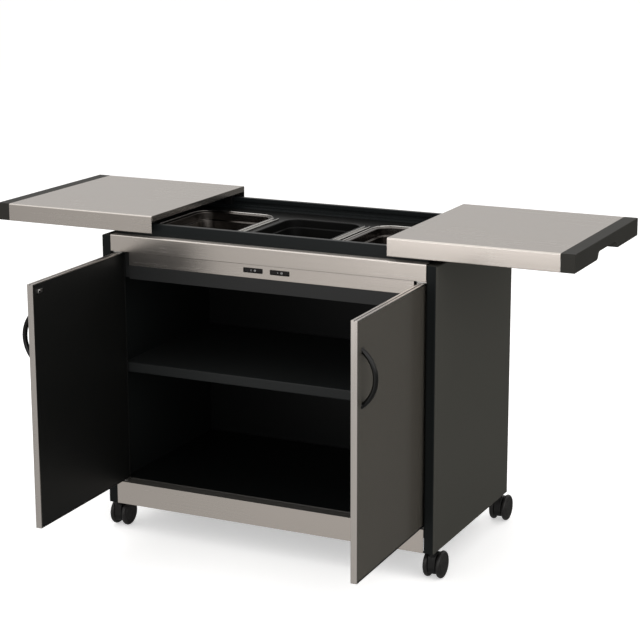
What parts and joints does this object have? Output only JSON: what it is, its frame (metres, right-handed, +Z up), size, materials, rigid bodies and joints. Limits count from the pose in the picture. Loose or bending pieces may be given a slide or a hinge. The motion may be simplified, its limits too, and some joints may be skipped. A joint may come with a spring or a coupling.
{
  "type": "heated serving trolley",
  "caption": "Heated carving trolley on casters: two sliding steel worktops over a well of three pans, a two-door cupboard with a shelf, and rocker switches",
  "frame": {"origin": "on the floor, under the middle of the box that holds the trolley as it stands open", "axes": "+X to the right seen from the front, +Y to the back, +Z up"},
  "size_m": [1.299, 0.777, 0.701],
  "materials": {
    "charcoal_laminate": "semi-gloss charcoal laminate on board",
    "black_laminate": "black laminate on board",
    "core_board": "dark fibreboard",
    "brushed_steel": "brushed stainless steel, grain along the length",
    "pan_steel": "satin stainless steel",
    "black_enamel": "black heat-proof enamel",
    "dark_aluminium": "dark grey coated aluminium",
    "plated_steel": "bright zinc plating",
    "wheel_nylon": "black nylon",
    "black_plastic": "satin black moulded plastic"
  },
  "bodies": {
    "cabinet": {"left_side_panel": "charcoal_laminate", "right_side_panel": "charcoal_laminate", "back_panel": "black_laminate", "base_board": "black_laminate", "door_sill": "charcoal_laminate", "plinth": "brushed_steel", "middle_shelf": "black_laminate", "shelf_pins": "plated_steel", "fascia_rail": "brushed_steel", "control_strip": "brushed_steel", "ceiling_panel": "black_enamel", "front_rail": "dark_aluminium", "back_rail": "dark_aluminium", "end_rails": "dark_aluminium", "well_deck": "black_enamel", "divider_bars": "pan_steel", "well_tub": "pan_steel", "heating_element": "plated_steel", "thermostat_box": "black_plastic", "mains_inlet": "black_plastic", "switch_bezels": "black_plastic", "hinge_brackets": "plated_steel", "caster_stems": "plated_steel"},
    "left_top": {"left_top_sheet": "brushed_steel", "left_top_core": "core_board", "left_end_strip": "black_plastic", "left_top_shoes": "black_plastic"},
    "left_door": {"left_door_panel": "charcoal_laminate", "left_door_trim": "brushed_steel", "left_handle": "black_plastic", "left_door_fittings": "plated_steel"},
    "left_rocker": {"left_rocker": "black_plastic"},
    "right_top": {"right_top_sheet": "brushed_steel", "right_top_core": "core_board", "right_end_strip": "black_plastic", "right_top_shoes": "black_plastic"},
    "right_door": {"right_door_panel": "charcoal_laminate", "right_door_trim": "brushed_steel", "right_handle": "black_plastic", "right_door_fittings": "plated_steel"},
    "right_rocker": {"right_rocker": "black_plastic"},
    "left_pan": {"left_pan": "pan_steel"},
    "middle_pan": {"middle_pan": "black_enamel"},
    "right_pan": {"right_pan": "pan_steel"},
    "front_left_caster": {"front_left_caster": "black_plastic"},
    "front_left_wheel_a": {"front_left_wheel_a": "wheel_nylon"},
    "front_left_wheel_b": {"front_left_wheel_b": "wheel_nylon"},
    "front_right_caster": {"front_right_caster": "black_plastic"},
    "front_right_wheel_a": {"front_right_wheel_a": "wheel_nylon"},
    "front_right_wheel_b": {"front_right_wheel_b": "wheel_nylon"},
    "rear_left_caster": {"rear_left_caster": "black_plastic"},
    "rear_left_wheel_a": {"rear_left_wheel_a": "wheel_nylon"},
    "rear_left_wheel_b": {"rear_left_wheel_b": "wheel_nylon"},
    "rear_right_caster": {"rear_right_caster": "black_plastic"},
    "rear_right_wheel_a": {"rear_right_wheel_a": "wheel_nylon"},
    "rear_right_wheel_b": {"rear_right_wheel_b": "wheel_nylon"}
  },
  "joints": [
    {"name": "left_top_slide", "type": "slide", "parent": "cabinet", "child": "left_top", "axis": [-1, 0, 0], "range_m": [-0.257, 0.071]},
    {"name": "left_door_hinge", "type": "hinge", "parent": "cabinet", "child": "left_door", "pos_m": [-0.3499, -0.04791, 0.1145], "axis": [0, 0, -1], "range_deg": [-88.7, 6]},
    {"name": "left_rocker_tilt", "type": "hinge", "parent": "cabinet", "child": "left_rocker", "pos_m": [-0.039, -0.04101, 0.60375], "axis": [0, 0, 1], "range_deg": [-10, 0]},
    {"name": "right_top_slide", "type": "slide", "parent": "cabinet", "child": "right_top", "axis": [1, 0, 0], "range_m": [-0.274, 0.054]},
    {"name": "right_door_hinge", "type": "hinge", "parent": "cabinet", "child": "right_door", "pos_m": [0.3329, -0.04791, 0.1145], "axis": [0, 0, 1], "range_deg": [-91.3, 3.4]},
    {"name": "right_rocker_tilt", "type": "hinge", "parent": "cabinet", "child": "right_rocker", "pos_m": [0.022, -0.04101, 0.60375], "axis": [0, 0, 1], "range_deg": [-10, 0]},
    {"name": "left_pan_lift", "type": "slide", "parent": "cabinet", "child": "left_pan", "axis": [0, 0, 1], "range_m": [0, 0.025]},
    {"name": "middle_pan_lift", "type": "slide", "parent": "cabinet", "child": "middle_pan", "axis": [0, 0, 1], "range_m": [0, 0.16]},
    {"name": "right_pan_lift", "type": "slide", "parent": "cabinet", "child": "right_pan", "axis": [0, 0, 1], "range_m": [0, 0.025]},
    {"name": "front_left_caster_swivel", "type": "hinge", "parent": "cabinet", "child": "front_left_caster", "pos_m": [-0.3775, -0.03601, 0.062], "axis": [0, 0, 1], "continuous": true},
    {"name": "front_left_wheel_a_roll", "type": "hinge", "parent": "front_left_caster", "child": "front_left_wheel_a", "pos_m": [-0.3915, -0.02001, 0.0285], "axis": [1, 0, 0], "continuous": true},
    {"name": "front_left_wheel_b_roll", "type": "hinge", "parent": "front_left_caster", "child": "front_left_wheel_b", "pos_m": [-0.3635, -0.02001, 0.0285], "axis": [1, 0, 0], "continuous": true},
    {"name": "front_right_caster_swivel", "type": "hinge", "parent": "cabinet", "child": "front_right_caster", "pos_m": [0.3605, -0.03601, 0.062], "axis": [0, 0, 1], "continuous": true},
    {"name": "front_right_wheel_a_roll", "type": "hinge", "parent": "front_right_caster", "child": "front_right_wheel_a", "pos_m": [0.3465, -0.02001, 0.0285], "axis": [1, 0, 0], "continuous": true},
    {"name": "front_right_wheel_b_roll", "type": "hinge", "parent": "front_right_caster", "child": "front_right_wheel_b", "pos_m": [0.3745, -0.02001, 0.0285], "axis": [1, 0, 0], "continuous": true},
    {"name": "rear_left_caster_swivel", "type": "hinge", "parent": "cabinet", "child": "rear_left_caster", "pos_m": [-0.3775, 0.34399, 0.062], "axis": [0, 0, 1], "continuous": true},
    {"name": "rear_left_wheel_a_roll", "type": "hinge", "parent": "rear_left_caster", "child": "rear_left_wheel_a", "pos_m": [-0.3915, 0.35999, 0.0285], "axis": [1, 0, 0], "continuous": true},
    {"name": "rear_left_wheel_b_roll", "type": "hinge", "parent": "rear_left_caster", "child": "rear_left_wheel_b", "pos_m": [-0.3635, 0.35999, 0.0285], "axis": [1, 0, 0], "continuous": true},
    {"name": "rear_right_caster_swivel", "type": "hinge", "parent": "cabinet", "child": "rear_right_caster", "pos_m": [0.3605, 0.34399, 0.062], "axis": [0, 0, 1], "continuous": true},
    {"name": "rear_right_wheel_a_roll", "type": "hinge", "parent": "rear_right_caster", "child": "rear_right_wheel_a", "pos_m": [0.3465, 0.35999, 0.0285], "axis": [1, 0, 0], "continuous": true},
    {"name": "rear_right_wheel_b_roll", "type": "hinge", "parent": "rear_right_caster", "child": "rear_right_wheel_b", "pos_m": [0.3745, 0.35999, 0.0285], "axis": [1, 0, 0], "continuous": true}
  ]
}
